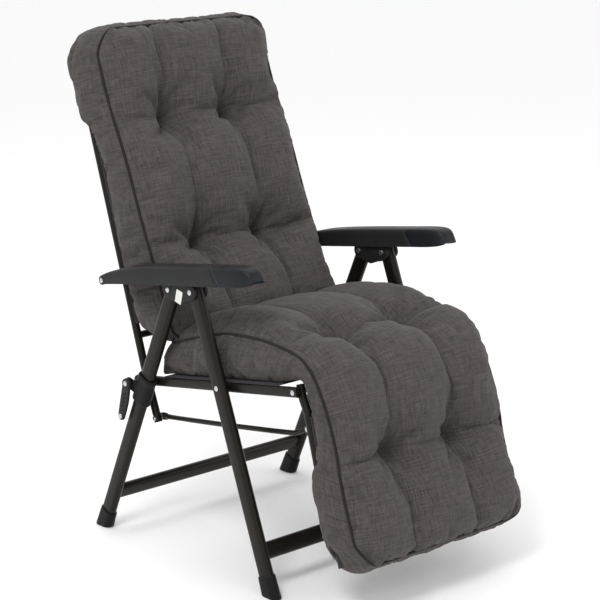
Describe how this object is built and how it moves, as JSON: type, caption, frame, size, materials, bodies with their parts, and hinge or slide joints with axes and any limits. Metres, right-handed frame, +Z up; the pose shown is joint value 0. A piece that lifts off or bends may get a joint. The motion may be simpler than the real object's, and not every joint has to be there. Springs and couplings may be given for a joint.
{
  "type": "folding recliner chair",
  "caption": "Folding reclining garden chair with a tubular frame, padded quilted seat, back and footrest, and armrests.",
  "frame": {"origin": "centre of the footprint of the opened chair, on the floor", "axes": "+Z up, +X to the sitter's left, -Y the way the sitter faces"},
  "size_m": [0.6234, 0.9371, 1.1235],
  "materials": {
    "bronze_tube": "satin",
    "arm_plastic": "satin",
    "arm_end": "satin",
    "black_plastic": "matte",
    "lever_plastic": "matte",
    "bright_bolt": "gloss",
    "sling_fabric": "matte",
    "pad_fabric": "matte",
    "label_paper": "satin"
  },
  "bodies": {
    "rear_frame": {"rear_leg_left": "bronze_tube", "rear_leg_right": "bronze_tube", "rear_foot_left": "black_plastic", "rear_foot_right": "black_plastic", "hub_left": "arm_plastic", "hub_right": "arm_plastic", "hub_rear_bolt_left": "bright_bolt", "hub_rear_bolt_right": "bright_bolt", "hub_front_bolt_left": "bright_bolt", "hub_front_bolt_right": "bright_bolt", "rear_crossbar": "bronze_tube", "hub_label_right": "label_paper"},
    "front_frame": {"front_leg_left": "bronze_tube", "front_leg_right": "bronze_tube", "front_foot_left": "black_plastic", "front_foot_right": "black_plastic", "seat_pivot_bolt_left": "bright_bolt", "seat_pivot_bolt_right": "bright_bolt", "front_crossbar": "bronze_tube"},
    "slider": {"slider_left": "black_plastic", "slider_right": "black_plastic", "back_pivot_bolt_left": "bright_bolt", "back_pivot_bolt_right": "bright_bolt"},
    "lever_left_body": {"lever_left": "lever_plastic", "lever_rivet_left": "bright_bolt"},
    "lever_right_body": {"lever_right": "lever_plastic", "lever_rivet_right": "bright_bolt"},
    "seat_frame": {"seat_rail_left": "bronze_tube", "seat_rail_right": "bronze_tube", "knee_bolt_left": "bright_bolt", "knee_bolt_right": "bright_bolt", "seat_rear_tube": "bronze_tube", "seat_front_tube": "bronze_tube", "seat_sling": "sling_fabric", "seat_cushion": "pad_fabric"},
    "back_frame": {"back_tube_left": "bronze_tube", "back_tube_right": "bronze_tube", "arm_bolt_left": "bright_bolt", "arm_bolt_right": "bright_bolt", "link_rear_bolt_left": "bright_bolt", "link_rear_bolt_right": "bright_bolt", "back_top_bow": "bronze_tube", "back_lower_tube": "bronze_tube", "back_sling": "sling_fabric", "back_cushion": "pad_fabric"},
    "armrests": {"armrest_left": "arm_plastic", "armrest_right": "arm_plastic", "armrest_end_left": "arm_end", "armrest_end_right": "arm_end"},
    "footrest": {"footrest_tube_left": "bronze_tube", "footrest_tube_right": "bronze_tube", "link_front_bolt_left": "bright_bolt", "link_front_bolt_right": "bright_bolt", "footrest_end_tube": "bronze_tube", "footrest_sling": "sling_fabric", "footrest_cushion": "pad_fabric"},
    "links": {"link_rod_left": "bronze_tube", "link_rod_right": "bronze_tube"}
  },
  "joints": [
    {"name": "fold", "type": "slide", "parent": "rear_frame", "child": "slider", "axis": [0, 0.4042, -0.9147], "range_m": [0, 0.1675]},
    {"name": "front_fold", "type": "hinge", "parent": "rear_frame", "child": "front_frame", "pos_m": [0, -0.0127, 0.609], "axis": [1, 0, 0], "range_deg": [0, 40.36]},
    {"name": "seat_fold", "type": "hinge", "parent": "slider", "child": "seat_frame", "pos_m": [0, 0.2073, 0.365], "axis": [1, 0, 0], "range_deg": [-32.9, 0]},
    {"name": "recline", "type": "hinge", "parent": "seat_frame", "child": "back_frame", "pos_m": [0, 0.2073, 0.365], "axis": [-1, 0, 0], "range_deg": [-17.43, 35], "deforming": ["back_cushion", "footrest_cushion"]},
    {"name": "arm_level", "type": "hinge", "parent": "back_frame", "child": "armrests", "pos_m": [0, 0.2848, 0.583], "axis": [1, 0, 0], "range_deg": [-12.94, 25.78]},
    {"name": "footrest_lift", "type": "hinge", "parent": "seat_frame", "child": "footrest", "pos_m": [0, -0.2947, 0.448], "axis": [1, 0, 0], "range_deg": [-36.11, 18.08]},
    {"name": "link_swing", "type": "hinge", "parent": "back_frame", "child": "links", "pos_m": [0, 0.1773, 0.281], "axis": [1, 0, 0], "range_deg": [-18.31, 36.56]},
    {"name": "lever_left_pull", "type": "hinge", "parent": "slider", "child": "lever_left_body", "pos_m": [0.3012, 0.2073, 0.365], "axis": [1, 0, 0], "range_deg": [0, 28], "stiffness_Nm_per_rad": 0.6, "springref_deg": -6.88},
    {"name": "lever_right_pull", "type": "hinge", "parent": "slider", "child": "lever_right_body", "pos_m": [-0.3012, 0.2073, 0.365], "axis": [1, 0, 0], "range_deg": [0, 28], "stiffness_Nm_per_rad": 0.6, "springref_deg": -6.88}
  ],
  "couplings": [
    {"joint": "front_fold", "follows": "fold", "rad_per_m": 4.168},
    {"joint": "seat_fold", "follows": "fold", "rad_per_m": -3.394},
    {"joint": "arm_level", "follows": "recline", "ratio": 0.72802},
    {"joint": "footrest_lift", "follows": "recline", "ratio": -1.0218},
    {"joint": "link_swing", "follows": "recline", "ratio": 1.0348}
  ]
}
